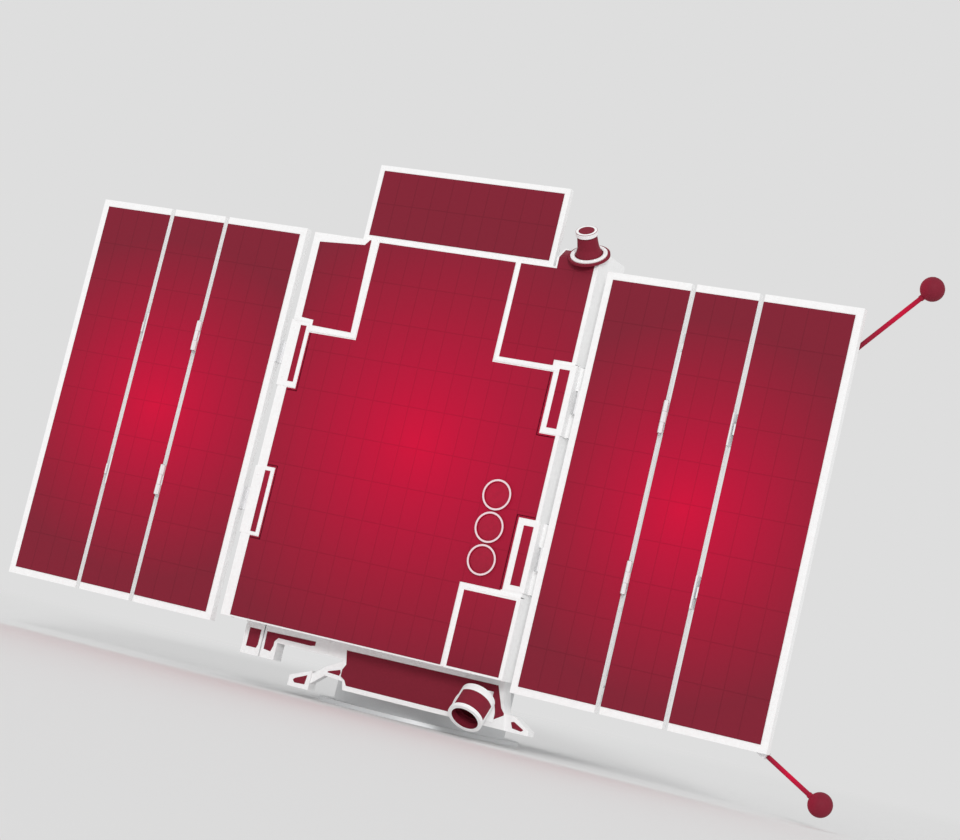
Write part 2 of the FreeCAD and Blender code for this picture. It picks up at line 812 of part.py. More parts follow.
def addClamp(name, clampAt, centre, lean):
    # A block from the panel's back to just past the rod, lying along the rod.
    body = addBody(name)
    half = s.probeClampWidth / 2
    sketch = addSketch(body, f"{name}Outline", "XZ_Plane", -half)
    end = s.probeClampLength / 2
    drawOutline(sketch, rectangle((-half, -clampAt - end), (half, end - clampAt)))
    addPad(body, sketch, s.probeStandoff + half)
    place(body, centre, (0, 1, 0), lean)
    return body


def makePads(side, name):
    # Rubber pads on the side wall, short of the folded inner panel.
    pads = []
    start, end = onSide(side, busHalf, busHalf + s.padHeight)
    half = s.padSize / 2
    for index, height in enumerate((deck + s.padInset, roof - s.padInset)):
        for step in (0, 1):
            y = structureFront + s.padFromFront + step * s.padSpacing
            pads.append(addBlock(f"Pad{name}{index}{step}", (start, y - half, height - half),
                                 (end, y + half, height + half)))
    keep(group(f"wing_pads_{name}", pads), f"wing_pads_{name}")


def build():
    makeLaunchRing()
    makeBusPanels()
    makeBodyArray()
    makeApertures()
    makeCovers()
    makeAntennaTower()
    makeAntenna()
    makeScreen()
    makeLowerUnits()
    makeBaffle()
    makeHead()
    makeCornerUnit()
    wideStrip = s.wingWidth - s.narrowStrip - s.middleStrip
    for side, name, firstStrip in ((1, "right", s.narrowStrip), (-1, "left", wideStrip)):
        makeRootHinges(side, name)
        makeWing(side, name, firstStrip)
        makePads(side, name)
    makeProbes()
    doc.recompute()


def checkAndWrite():
    failed = [item.Name for item in doc.Objects if {"Invalid", "Error"} & set(item.State)]
    if failed:
        raise RuntimeError(f"objects that failed: {failed}")
    for label, thing in nodes.items():
        shape = thing.Shape
        if shape.isNull() or not shape.isValid():
            raise RuntimeError(f"{label} has no valid shape")
    for label, thing in nodes.items():
        thing.Shape.exportStep(f"parts/{label}.step")
        print(label, len(thing.Shape.Solids), round(thing.Shape.Volume / 1000, 1), "cm3")


build()
checkAndWrite()
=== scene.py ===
import math
import bmesh
import bpy
from mathutils import Euler, Matrix, Vector


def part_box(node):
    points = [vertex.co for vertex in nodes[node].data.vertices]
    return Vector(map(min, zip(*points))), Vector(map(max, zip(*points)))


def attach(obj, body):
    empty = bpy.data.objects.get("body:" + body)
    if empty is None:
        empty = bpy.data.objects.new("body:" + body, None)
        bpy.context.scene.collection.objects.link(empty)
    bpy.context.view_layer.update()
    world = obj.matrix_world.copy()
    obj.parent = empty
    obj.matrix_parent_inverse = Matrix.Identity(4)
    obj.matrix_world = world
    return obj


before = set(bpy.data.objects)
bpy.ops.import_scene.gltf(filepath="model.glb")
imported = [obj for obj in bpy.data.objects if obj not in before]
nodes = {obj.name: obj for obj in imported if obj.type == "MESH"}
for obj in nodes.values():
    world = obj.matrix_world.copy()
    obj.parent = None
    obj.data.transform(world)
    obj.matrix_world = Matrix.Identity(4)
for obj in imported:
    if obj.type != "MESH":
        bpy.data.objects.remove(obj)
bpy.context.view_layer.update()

mm = 0.001
sides = (("right", 1), ("left", -1))
strips = ("inner", "middle", "outer")

# planes, heights and lines of the solids that the pieces lie on; every size below is in millimetres too
solids = {
    "deck": 120, "roof": 896, "front": -328, "back": 312, "side": 310,
    "unitFront": -250, "wingBack": -310, "hingeHeights": (351, 649.5),
    "frontAxis": -333, "backAxis": -305, "rootAxis": 320,
    "rightLines": (505, 637.5), "leftLines": (-521.5, -654),
}


def report(stage):
    print("stage:", stage)


def placed(name, data):
    # an object of the scene that holds a mesh, a lamp or a camera
    holder = bpy.data.objects.new(name, data)
    bpy.context.scene.collection.objects.link(holder)
    return holder


# camera: low beside the front, looking a little up, rolled as the picture is; place and reach in metres
camera = {
    "place": (2.037, -4.082, 0.1236),
    "right": (0.8798, 0.4155, 0.2311),
    "ahead": (-0.4477, 0.8875, 0.1090),
    "lens": 84.4,
    "sensor": 36.0,
    "reach": 200,
}


def placeCamera():
    data = bpy.data.cameras.new("camera")
    data.lens = camera["lens"]
    data.sensor_width = camera["sensor"]
    data.clip_end = camera["reach"]
    holder = placed("camera", data)
    right = Vector(camera["right"]).normalized()
    ahead = Vector(camera["ahead"])
    ahead = (ahead - right * ahead.dot(right)).normalized()
    up = right.cross(ahead)
    turn = Matrix((right, up, -ahead)).transposed().to_4x4()
    holder.matrix_world = Matrix.Translation(Vector(camera["place"])) @ turn
    bpy.context.scene.camera = holder


# colours and node helpers
def channels(code):
    return [int(code[i:i + 2], 16) for i in (1, 3, 5)]


def linear(code):
    # an sRGB hex value as linear light
    parts = [value / 255 for value in channels(code)]
    return tuple(p / 12.92 if p <= 0.04045 else ((p + 0.055) / 1.055) ** 2.4 for p in parts) + (1.0,)


def between(first, second, share):
    # a colour part way between two hex values, mixed as sRGB
    pairs = zip(channels(first), channels(second))
    return "#" + "".join(f"{round(p + (q - p) * share):02X}" for p, q in pairs)


def addNode(tree, kind, settings=None, links=None):
    # one shader node with its settings, its input values and its links; a number names an input by its place
    node = tree.nodes.new(kind)
    for name, value in (settings or {}).items():
        if isinstance(name, str) and hasattr(node, name):
            setattr(node, name, value)
        else:
            node.inputs[name].default_value = value
    for name, source in (links or {}).items():
        tree.links.new(source, node.inputs[name])
    return node


def newMaterial(name):
    # an empty material, its tree, and the coordinates that its patterns follow
    material = bpy.data.materials.new(name)
    material.use_nodes = True
    tree = material.node_tree
    tree.nodes.clear()
    return material, tree, addNode(tree, "ShaderNodeTexCoord")


def coat(tree, colour, height, bump, gloss, links=None):
    # the surface of a finish: its colour, a bump that follows the height, and how it shines
    relief = addNode(tree, "ShaderNodeBump", bump, {"Height": height})
    shader = addNode(tree, "ShaderNodeBsdfPrincipled", gloss,
                     {"Base Color": colour, "Normal": relief.outputs[0], **(links or {})})
    addNode(tree, "ShaderNodeOutputMaterial", links={"Surface": shader.outputs[0]})


def fillRamp(ramp, stops):
    # a ramp's stops as places and hex colours, of which the first two are its ends
    elements = ramp.color_ramp.elements
    for index, (share, code) in enumerate(stops):
        stop = elements[index] if index < 2 else elements.new(share)
        stop.position = share
        stop.color = linear(code)


# the crimson of the cells: the dark crimson is their own colour, and the bright crimson is a painted sheen in
# the middle of a field that falls to the dark edge; the mix is linear in sRGB, so stops between the two keep it
# so
crimson = {"bright": "#D00F3B", "dark": "#822435", "shares": (0, 1, 0.2, 0.4, 0.6, 0.8)}
# painted sheens, bright in the middle, on the three cell fields, the rods and the balls: place and radii in x
# and z, and the turn
paintedSheens = {
    "body": {"centre": (26, 517), "radii": (507, 442), "turn": 5.6},
    "right": {"centre": (580, 491), "radii": (373, 347), "turn": 13},
    "left": {"centre": (-578, 496), "radii": (414, 340), "turn": 8.6},
    "rods": {"centre": (879, 500), "radii": (64, 20000), "turn": 1.2},
    "balls": {"centre": (882, 500), "radii": (52, 20000), "turn": 0},
}


def paintedSheenColour(tree, place, name):
    # crimson with a painted sheen: bright in the middle of the field and falling evenly to the ellipse's edge,
    # at any depth
    glow = paintedSheens[name]
    mapping = addNode(tree, "ShaderNodeMapping", {
        "vector_type": "TEXTURE",
        "Location": (glow["centre"][0] * mm, 0, glow["centre"][1] * mm),
        "Rotation": (0, math.radians(glow["turn"]), 0),
        "Scale": (glow["radii"][0] * mm, 1000, glow["radii"][1] * mm),
    }, {"Vector": place.outputs["Object"]})
    fall = addNode(tree, "ShaderNodeTexGradient", {"gradient_type": "SPHERICAL"},
                   {"Vector": mapping.outputs[0]})
    ramp = addNode(tree, "ShaderNodeValToRGB", links={"Fac": fall.outputs["Fac"]})
    fillRamp(ramp, [(share, between(crimson["dark"], crimson["bright"], share)) for share in crimson["shares"]])
    return ramp.outputs["Color"]


# a mix that multiplies two colours: input 0 is its share, 6 and 7 are the colours, and output 2 is the result
multiply = {"data_type": "RGBA", "blend_type": "MULTIPLY", 0: 1}


# grids that fill a node's face evenly: cells of about 39 x 77 mm with 1.2 mm seams, a little wider than the
# real gaps so that they show, and film tiles of 40 mm; colours of two kinds of tile and of the seams
grids = {
    "cells": {"width": 39, "height": 77, "gap": 1.2, "smooth": 0.2,
              "colours": ("#FFFFFF", "#FDFDFD", "#EFEFEF")},
    "tiles": {"width": 40, "height": 40, "gap": 1.5, "smooth": 0.1,
              "colours": ("#F2F2F1", "#EAEBEB", "#BFC1C4")},
}


def evenPitch(span, pitch):
    # the pitch nearest to the given one that fills the span with whole tiles
    return span / round(span / (pitch * mm))


def gridOn(tree, place, node, grid):
    low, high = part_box(node)
    upright = addNode(tree, "ShaderNodeMapping", {
        "Location": (-low[0], -low[2], 0), "Rotation": (math.radians(-90), 0, 0),
    }, {"Vector": place.outputs["Object"]})
    first, second, seam = grid["colours"]
    return addNode(tree, "ShaderNodeTexBrick", {
        "offset": 0, "squash": 1, "Scale": 1, "Bias": 0,
        "Brick Width": evenPitch(high[0] - low[0], grid["width"]),
        "Row Height": evenPitch(high[2] - low[2], grid["height"]),
        "Mortar Size": grid["gap"] * mm, "Mortar Smooth": grid["smooth"],
        "Color1": linear(first), "Color2": linear(second), "Mortar": linear(seam),
    }, {"Vector": upright.outputs[0]})


def cellGlass(name, node, glow):
    # cerium-doped cover glass with an anti-reflection coat over the cells: a deep crimson with hardly a shine,
    # fine seams between the cells, and a painted sheen that brightens the crimson towards the field's middle
    material, tree, place = newMaterial(name)
    seams = gridOn(tree, place, node, grids["cells"])
    # a field without a painted sheen is dark crimson all over
    paintedSheenInput = {6: paintedSheenColour(tree, place, glow)} if glow else {}
    mix = addNode(tree, "ShaderNodeMix", {**multiply, 6: linear(crimson["dark"])},
                  {7: seams.outputs["Color"], **paintedSheenInput})
    coat(tree, mix.outputs[2], seams.outputs["Fac"], {"Strength": 0.3, "Distance": 0.0004, "invert": True},
         {"Roughness": 0.34, "Specular IOR Level": 0.08})
    return material


def grainRamp(tree, place, code, depth, grain, low=0.35, high=0.65, stretch=(1, 1, 1)):
    # a colour with a faint fleck, and the noise that its bump follows
    mapping = addNode(tree, "ShaderNodeMapping", {"Scale": stretch}, {"Vector": place.outputs["Object"]})
    noise = addNode(tree, "ShaderNodeTexNoise", {"Scale": 1 / (grain * mm), "Detail": 3},
                    {"Vector": mapping.outputs[0]})
    ramp = addNode(tree, "ShaderNodeValToRGB", links={"Fac": noise.outputs["Fac"]})
    fillRamp(ramp, [(low, between(code, "#000000", depth)), (high, code)])
    return ramp.outputs["Color"], noise.outputs["Fac"]


# finishes: colour, how far the fleck darkens it, the grain, roughness and bump; a glow is a painted sheen that
# multiplies the colour by its own crimson, bright in its middle. Real grains are 0.2 to 1 mm and wouldn't show,
# so they are drawn 2 to 8 mm wide
finishes = {
    # sprayed potassium silicate paint: chalky and matt, close to pure white
    "whiteSilicatePaint": {"colour": "#F8F8F8", "fleck": 0.015, "grain": 6, "roughness": 0.62, "bump": 0.06},
    # sprayed polyurethane paint: an even dark crimson, nearly matt
    "crimsonPaint": {"colour": "#822435", "fleck": 0.03, "grain": 4, "roughness": 0.6, "bump": 0.06},
    # shrunk film sleeve on the probes' rods: smoother, with a painted highlight brightest half way along
    "crimsonSleeve": {"colour": "#FFFFFF", "fleck": 0.05, "grain": 2, "roughness": 0.5, "bump": 0.08,
                      "glow": "rods"},
    # sprayed conductive paint on the balls: dark crimson, with a painted highlight of brighter crimson towards
    # the rods
    "crimsonConductivePaint": {"colour": "#FFFFFF", "fleck": 0.03, "grain": 4, "roughness": 0.6, "bump": 0.06,
                               "glow": "balls"},
    # dyed anodic film on turned alloy: satin and dark crimson, with the same painted sheen as the field round
    # it
    "crimsonAnodised": {"colour": "#FFFFFF", "fleck": 0.04, "grain": 8, "roughness": 0.4, "bump": 0.02,
                        "glow": "body"},
    # lightly dyed anodic film: pale rose and satin
    "blushAnodised": {"colour": "#F0DADF", "fleck": 0.02, "grain": 3, "roughness": 0.45, "bump": 0.05},
    # moulded silicone rubber: dull dark grey with the mould's grain
    "siliconeRubber": {"colour": "#4A4A4D", "fleck": 0.12, "grain": 2, "roughness": 0.8, "bump": 0.25},
}


def paint(name):
    # a coat or a moulded skin: a faint fleck, and a slight unevenness that breaks the light
    finish = finishes[name]
    material, tree, place = newMaterial(name)
    colour, height = grainRamp(tree, place, finish["colour"], finish["fleck"], finish["grain"])
    # a glow is a painted sheen: its crimson, bright in its middle, multiplies the colour
    if "glow" in finish:
        glow = paintedSheenColour(tree, place, finish["glow"])
        colour = addNode(tree, "ShaderNodeMix", multiply, {6: glow, 7: colour}).outputs[2]
    coat(tree, colour, height, {"Strength": finish["bump"], "Distance": 0.0003},
         {"Roughness": finish["roughness"], "Specular IOR Level": 0.1})
    return material


# metals: colour, how metallic and how rough, the width of the tool marks and the way that they run; real marks
# are finer than 0.1 mm, so they are drawn about 1 mm wide. A thick anodic film hides part of the metal's gloss
metals = {
    # milled alloy under a clear anodic film: pale grey satin with upright marks
    "clearAnodised": {"colour": "#E9EAEB", "metallic": 0.5, "roughness": 0.5, "marks": 1.5,
                      "stretch": (1, 1, 8)},
    # bead-blasted alloy under a thick anodic film: nearly white and matt, with no direction
    "blastedAnodised": {"colour": "#F6F6F7", "metallic": 0.2, "roughness": 0.62, "marks": 1,
                        "stretch": (1, 1, 1)},
    # ground stainless steel: glossy, with marks along the pin
    "groundSteel": {"colour": "#C4C6C8", "metallic": 1.0, "roughness": 0.28, "marks": 0.8,
                    "stretch": (1, 1, 6)},
    # passivated stainless screws: a softer gloss
    "passivatedScrew": {"colour": "#CED0D2", "metallic": 1.0, "roughness": 0.35, "marks": 1,
                        "stretch": (1, 1, 1)},
}
markDepth = {"fleck": 0.06, "gloss": 0.06, "low": 0.3, "high": 0.7}


def metal(name):
    # machined metal: fine tool marks that streak its gloss
    finish = metals[name]
    material, tree, place = newMaterial(name)
    colour, height = grainRamp(tree, place, finish["colour"], markDepth["fleck"], finish["marks"],
                               markDepth["low"], markDepth["high"], finish["stretch"])
    gloss = addNode(tree, "ShaderNodeMapRange", {
        "To Min": finish["roughness"] - markDepth["gloss"], "To Max": finish["roughness"] + markDepth["gloss"],
    }, {"Value": height})
    coat(tree, colour, height, {"Strength": 0.08, "Distance": 0.0002}, {"Metallic": finish["metallic"]},
         {"Roughness": gloss.outputs[0]})
    return material


def windowGlass(name, glow):
    # tinted fused silica, lapped and coated: the field's crimson, with its painted sheen, under a clear gloss
    material, tree, place = newMaterial(name)
    fleck, height = grainRamp(tree, place, "#FFFFFF", depth=0.04, grain=8)
    mix = addNode(tree, "ShaderNodeMix", multiply, {6: paintedSheenColour(tree, place, glow), 7: fleck})
    coat(tree, mix.outputs[2], height, {"Strength": 0.02, "Distance": 0.0002},
         {"Roughness": 0.3, "Specular IOR Level": 0.1, "Coat Weight": 0.15, "Coat Roughness": 0.05})
    return material


def radiatorFilm(name, node):
    # white zinc oxide paint over the film tiles of a radiator: matt, with grey seams
    material, tree, place = newMaterial(name)
    tiles = gridOn(tree, place, node, grids["tiles"])
    fleck = grainRamp(tree, place, "#FFFFFF", depth=0.03, grain=5)[0]
    mix = addNode(tree, "ShaderNodeMix", multiply, {6: tiles.outputs["Color"], 7: fleck})
    coat(tree, mix.outputs[2], tiles.outputs["Fac"], {"Strength": 0.4, "Distance": 0.0005, "invert": True},
         {"Roughness": 0.4, "Specular IOR Level": 0.2})
    return material


materials = {name: paint(name) for name in finishes}
materials.update({name: metal(name) for name in metals})
# each field of cells: its node and its painted sheen, if it has one
fields = {"coverGlassBody": ("body_cells", "body"), "coverGlassScreen": ("top_screen_face", None)}
fields.update({f"coverGlass{side.title()}{strip.title()}": (f"cells_{side}_{strip}", side)
               for side, sign in sides for strip in strips})
materials.update({name: cellGlass(name, node, glow) for name, (node, glow) in fields.items()})
materials["windowGlass"] = windowGlass("windowGlass", "body")
materials["radiatorFilm"] = radiatorFilm("radiatorFilm", "rear_radiator")


# which finish each solid wears; the rest is white silicate paint
wear = {name: [node] for name, (node, glow) in fields.items()}
wear.update({
    "crimsonPaint": ["antenna_flange", "antenna_cone"],
    "crimsonConductivePaint": ["probes"],
    "crimsonAnodised": ["aperture_rings"],
    "clearAnodised": ["adapter_lower_flange", "adapter_shell", "adapter_upper_flange", "screen_gussets"],
    "blastedAnodised": ["probe_clamps", *(f"fittings_{side}_{strip}" for side, sign in sides
                                          for strip in strips)],
    "groundSteel": ["root_pins_right", "root_pins_left"],
    "siliconeRubber": ["wing_pads_right", "wing_pads_left"],
    "radiatorFilm": ["rear_radiator"],
})


def dressNodes():
    finishOf = {name: finish for finish, names in wear.items() for name in names}
    for name, node in nodes.items():
        node.data.materials.clear()
        node.data.materials.append(materials[finishOf.get(name, "whiteSilicatePaint")])


# shaping helpers: the turn that makes a drawing plane's local Z look each way
turns = {"front": (90, 0, 0), "back": (90, 0, 180), "right": (90, 0, 90), "left": (90, 0, -90),
         "up": (0, 0, 0), "down": (180, 0, 0)}
meshing = {"join": 0.005, "sharp": 32}


def plane(direction, x, y, z):
    # a drawing plane at a point, whose local Z looks along the direction
    turn = Euler([math.radians(angle) for angle in turns[direction]])
    return Matrix.Translation(Vector((x, y, z)) * mm) @ turn.to_matrix().to_4x4()


def tilted(x, y, z, axis, angle):
    return Matrix.Translation(Vector((x, y, z)) * mm) @ Matrix.Rotation(math.radians(angle), 4, axis)


def moved(place, x, y, z):
    # the same plane from another point on it or above it
    return place @ Matrix.Translation((x * mm, y * mm, z * mm))


def settle(shape, name, body, finish, slot):
    # joins doubles, turns faces outwards, and hands the shape to its body
    bmesh.ops.remove_doubles(shape, verts=shape.verts, dist=meshing["join"] * mm)
    bmesh.ops.recalc_face_normals(shape, faces=shape.faces)
    mesh = bpy.data.meshes.new(name)
    shape.to_mesh(mesh)
    shape.free()
    mesh.shade_smooth()
    mesh.set_sharp_from_angle(angle=math.radians(meshing["sharp"]))
    mesh.materials.append(materials[finish])
    piece = placed(name, mesh)
    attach(piece, body)


def raisePlate(shape, outline, place, thick, edge):
    # a plate from its outline, raised along the plane's local Z, with its upper rim rounded
    before = set(shape.verts)
    face = shape.faces.new([shape.verts.new((x * mm, y * mm, 0)) for x, y in outline])
    raised = bmesh.ops.extrude_face_region(shape, geom=[face])["geom"]
    top = [item for item in raised if isinstance(item, bmesh.types.BMVert)]
    bmesh.ops.translate(shape, verts=top, vec=(0, 0, thick * mm))
    rim = [item for item in raised if isinstance(item, bmesh.types.BMEdge)]
    bmesh.ops.bevel(shape, geom=rim, offset=edge * mm, offset_type="OFFSET", segments=2, profile=0.5,
                    affect="EDGES", material=-1)
    made = [vert for vert in shape.verts if vert not in before]
    bmesh.ops.transform(shape, matrix=place, verts=made)


def spinProfile(shape, profile, place, steps):
    # a round form from its profile of radius and height, spun about the plane's local Z; a profile that starts
    # off the axis is closed to a ring
    before = set(shape.verts)
    corners = [shape.verts.new((radius * mm, 0, height * mm)) for radius, height in profile]
    pairs = list(zip(corners, corners[1:])) + ([(corners[-1], corners[0])] if profile[0][0] > 0 else [])
    wire = [shape.edges.new(pair) for pair in pairs]
    bmesh.ops.spin(shape, geom=corners + wire, cent=(0, 0, 0), axis=(0, 0, 1), angle=math.tau, steps=steps,
                   use_merge=True)
    made = [vert for vert in shape.verts if vert not in before]
    bmesh.ops.transform(shape, matrix=place, verts=made)


# a button head as shares of its radius, with a dished socket as a share of its height
button = {"sides": 12, "height": 0.55, "crown": 0.74, "rim": 0.3, "socket": 0.6}


def screwHead(shape, place, radius):
    height = radius * button["height"] * mm
    lift = place @ Matrix.Translation((0, 0, height / 2))
    made = bmesh.ops.create_cone(shape, cap_ends=True, cap_tris=False, segments=button["sides"],
                                 radius1=radius * mm, radius2=radius * button["crown"] * mm, depth=height,
                                 matrix=lift)
    outwards = place.to_3x3() @ Vector((0, 0, 1))
    faces = {face for vert in made["verts"] for face in vert.link_faces}
    top = max(faces, key=lambda face: face.calc_center_median().dot(outwards))
    bmesh.ops.inset_region(shape, faces=[top], thickness=radius * button["rim"] * mm, use_even_offset=True)
    bmesh.ops.translate(shape, verts=list(top.verts), vec=-outwards * height * button["socket"])


# finishes with their slots that many pieces share
cellGlassSheet = ("coverGlassBody", "cell_sheet")
whiteCover = ("whiteSilicatePaint", "cover")
crimsonCover = ("crimsonPaint", "cover")
alloyPart = ("clearAnodised", "alloy")
steelPart = ("passivatedScrew", "steel")


def addPlate(name, body, outline, place, thick, edge, finish, slot):
    shape = bmesh.new()
    raisePlate(shape, outline, place, thick, edge)
    settle(shape, name, body, finish, slot)


def addTurned(name, body, profile, places, steps, finish, slot):
    shape = bmesh.new()
    for place in places:
        spinProfile(shape, profile, place, steps)
    settle(shape, name, body, finish, slot)


def addScrews(name, body, places, radius, finish, slot):
    shape = bmesh.new()
    for place in places:
        screwHead(shape, place, radius)
    settle(shape, name, body, finish, slot)


def rectangle(x0, y0, x1, y1):
    return [(x0, y0), (x1, y0), (x1, y1), (x0, y1)]


def spread(start, end, count):
    return [start + (end - start) * index / (count - 1) for index in range(count)]


# crimson sheets bonded to white housings, with corners in x and height above the deck, seen from the front:
# glass on the covers, and paint on the units, with the plane of each
coverSheets = {
    "sheet_left_cover": [(-294, 758), (-293, 603), (-265, 601), (-265, 590), (-176, 588), (-180, 775),
                         (-183, 775), (-192, 764)],
    "sheet_right_cover": [(151, 773), (151, 590), (264, 590), (264, 601), (301, 601), (301, 795), (226, 795),
                          (226, 773)],
    "sheet_low_cover": [(193, 148), (193, 4), (302, 4), (302, 148)],
    "sheet_slot_left_low": [(-289, 292), (-289, 169.5), (-277, 169.5), (-277, 292)],
    "sheet_slot_left_high": [(-290, 587), (-290, 473), (-277, 473), (-277, 587)],
    "sheet_slot_right_low": [(282, 287), (282, 174.5), (302, 174.5), (302, 287)],
    "sheet_slot_right_high": [(280, 585.5), (280, 473.5), (301, 473.5), (301, 585.5)],
}
unitSheets = {
    "sheet_unit": (-250, [(-283, -12), (-283, -49), (-260, -49), (-257, -42), (-257, -12)]),
    "sheet_unit_and_beam": (-250, [(-243, -12), (-242, -47), (-226, -49), (-222, -37), (-222, -28), (-215, -20),
                                   (-140, -20), (-131, -18), (-131, -10)]),
    "sheet_bay": (-250, [(-60, -12), (-54, -39), (-60, -50), (-60, -63), (-50, -69), (-44, -78.5), (262, -79),
                         (276, -72.5), (294, -61.5), (294, -58), (286, -49), (270, -9.5)]),
    "sheet_arm": (-246, [(-92, -59.5), (-92, -61.8), (-66, -63), (-64, -57), (-66, -51.5)]),
    "sheet_head": (-250, [(-161, -91), (-157, -96), (-134, -95), (-132, -76.5), (-157, -87)]),
    "sheet_corner": (-248, [(311, -70), (316, -80.5), (335, -82.5), (339, -79), (317, -68)]),
}
# a sheet's thickness and rounding; the tower's sheet goes on over its slope, which rises 23.3 mm in 25
sheetForm = (0.7, 0.25)
towerSlope = {"foot": 794.7, "lean": -47, "corners": (226, -0.5, 301, 28), "form": (0.7, 0.1)}


def bondSheets():
    place = plane("front", 0, solids["front"], solids["deck"])
    for name, corners in coverSheets.items():
        addPlate(name, "bus", corners, place, *sheetForm, *cellGlassSheet)
    for name, (y, corners) in unitSheets.items():
        addPlate(name, "bus", corners, plane("front", 0, y, solids["deck"]), *sheetForm, *crimsonCover)
    foot = plane("front", 0, solids["front"], solids["deck"] + towerSlope["foot"])
    slope = foot @ Matrix.Rotation(math.radians(towerSlope["lean"]), 4, "X")
    addPlate("sheet_tower_slope", "bus", rectangle(*towerSlope["corners"]), slope, *towerSlope["form"],
             *cellGlassSheet)


# crimson strips beside the hinge slots, flush with the cells, and white tape over the covers' seams
slotStrips = {
    "strip_right_low": [(302, 305), (263, 305), (263, 163), (268, 163), (268, 300), (302, 300)],
    "strip_right_high": [(263, 578), (263, 455.5), (302, 455.5), (302, 460.5), (268, 460.5), (268, 578)],
    "strip_left_low": [(-288, 305), (-288, 300), (-268, 300), (-268, 162), (-288, 162), (-288, 157),
                       (-263, 157), (-263, 305)],
    "strip_left_high": [(-263, 575), (-268, 575), (-268, 460.5), (-288, 460.5), (-288, 455.5), (-263, 455.5)],
}
tapes = {
    "tape_left_cover": [(-163.5, 775), (-170.5, 775), (-170.5, 584.5), (-265.5, 584.5), (-265.5, 600.5),
                        (-309, 600.5), (-309, 594), (-272.5, 594), (-272.5, 577.5), (-163.5, 577.5)],
    "tape_right_cover": [(141.5, 775), (141.5, 580.5), (272.5, 580.5), (272.5, 594), (309, 594), (309, 600.5),
                         (265, 600.5), (265, 587.5), (148.5, 587.5), (148.5, 775)],
    "tape_low_cover": [(182.5, 1), (189.5, 1), (189.5, 151.5), (309, 151.5), (309, 158.5), (182.5, 158.5)],
}
# where they start, and the thickness and rounding of each
seams = {"plane": -327, "strip": (1.0, 0.1), "tape": (1.4, 0.2)}


def closeSeams():
    place = plane("front", 0, seams["plane"], solids["deck"])
    for name, corners in slotStrips.items():
        addPlate(name, "bus", corners, place, *seams["strip"], *cellGlassSheet)
    for name, corners in tapes.items():
        addPlate(name, "bus", corners, place, *seams["tape"], *whiteCover)


# three windows in the rings on the front, and a thin retainer on each ring
windows = {
    "x": 215, "y": -329.5, "heights": (328, 390, 452),
    "glass": [(0, 0), (24.2, 0), (24.2, 0.7), (20, 1.5), (12, 1.9), (0, 2.1)], "glassSteps": 48,
    "retainer": [(25.8, 2.4), (29.4, 2.4), (29.4, 2.8), (29, 3.1), (26.2, 3.1), (25.8, 2.8)],
    "retainerSteps": 56,
}


def fitWindows():
    places = [plane("front", windows["x"], windows["y"], height) for height in windows["heights"]]
    addTurned("aperture_windows", "bus", windows["glass"], places, windows["glassSteps"], "windowGlass",
              "cell_sheet")
    addTurned("aperture_retainers", "bus", windows["retainer"], places, windows["retainerSteps"],
              "blushAnodised", "alloy")


# cone antenna: white collar on the flange, white rim band, dark mouth; profiles are radius and height along its
# axis
antenna = {
    "base": (280, -315.5, 926.35), "tilt": 43, "collarSteps": 56, "steps": 48,
    "collar": [(27, 4), (35, 4), (35, 6.4), (34, 7.2), (28, 7.2), (27, 6.4)],
    "band": [(20.4, 46.4), (20.9, 46.8), (20.9, 54), (20.4, 54.4)],
    "lip": [(15.2, 54.8), (19.9, 54.8), (19.9, 55.2), (19.5, 55.4), (15.5, 55.4), (15.2, 55.2)],
    "mouth": [(0, 54.8), (15.1, 54.8), (15.1, 55.1), (8, 55.4), (0, 55.5)],
    "screws": 8, "screwCircle": 31, "screwHeight": 7.1, "screw": 2.2,
}


def trimAntenna():
    place = tilted(*antenna["base"], "X", antenna["tilt"])
    addTurned("antenna_collar", "bus", antenna["collar"], [place], antenna["collarSteps"], *whiteCover)
    for part in ("band", "lip"):
        addTurned(f"antenna_{part}", "bus", antenna[part], [place], antenna["steps"], *whiteCover)
    addTurned("antenna_mouth", "bus", antenna["mouth"], [place], antenna["steps"], "crimsonPaint", "antenna")
    turned = [place @ Matrix.Rotation(math.tau * step / antenna["screws"], 4, "Z")
              for step in range(antenna["screws"])]
    spots = [moved(turn, antenna["screwCircle"], 0, antenna["screwHeight"]) for turn in turned]
    addScrews("antenna_screws", "bus", spots, antenna["screw"], *whiteCover)


# baffled sensor: a white shell with a crimson wrap on its front, a crimson liner with knife-edged vanes, a
# front stop at the mouth, a lens on the floor, and a white doubler on the bay's front under its foot
baffle = {
    "base": (249, -280, 82), "tilt": 141, "fineSteps": 56, "steps": 48,
    "stop": [(33.8, 51), (34.6, 51.4), (34.6, 57.3), (34.2, 57.7), (27.4, 57.7), (27, 57.4), (27, 57),
             (33.8, 57)],
    "liner": [(31.1, 8), (30.6, 8), (30.6, 56.6), (31.1, 56.6)],
    "lens": [(0, 8), (30.8, 8), (30.8, 9), (21, 9), (21, 11), (19, 11.6), (17, 11.2), (12, 12.8), (0, 14)],
    "wrap": {"profile": [(33.8, 15), (34.4, 15.3), (34.4, 49.7), (33.8, 50)], "from": -2, "to": 122,
             "steps": 24},
    "vanes": [(30.7, 0), (26.5, 0.6), (30.7, 1.4)], "vaneHeights": (19, 31, 43),
    "doubler": {"centre": (231, -67), "radius": 45, "foot": -79.5, "behind": 0.6, "thick": 0.8, "edge": 0.3,
                "steps": 32},
}


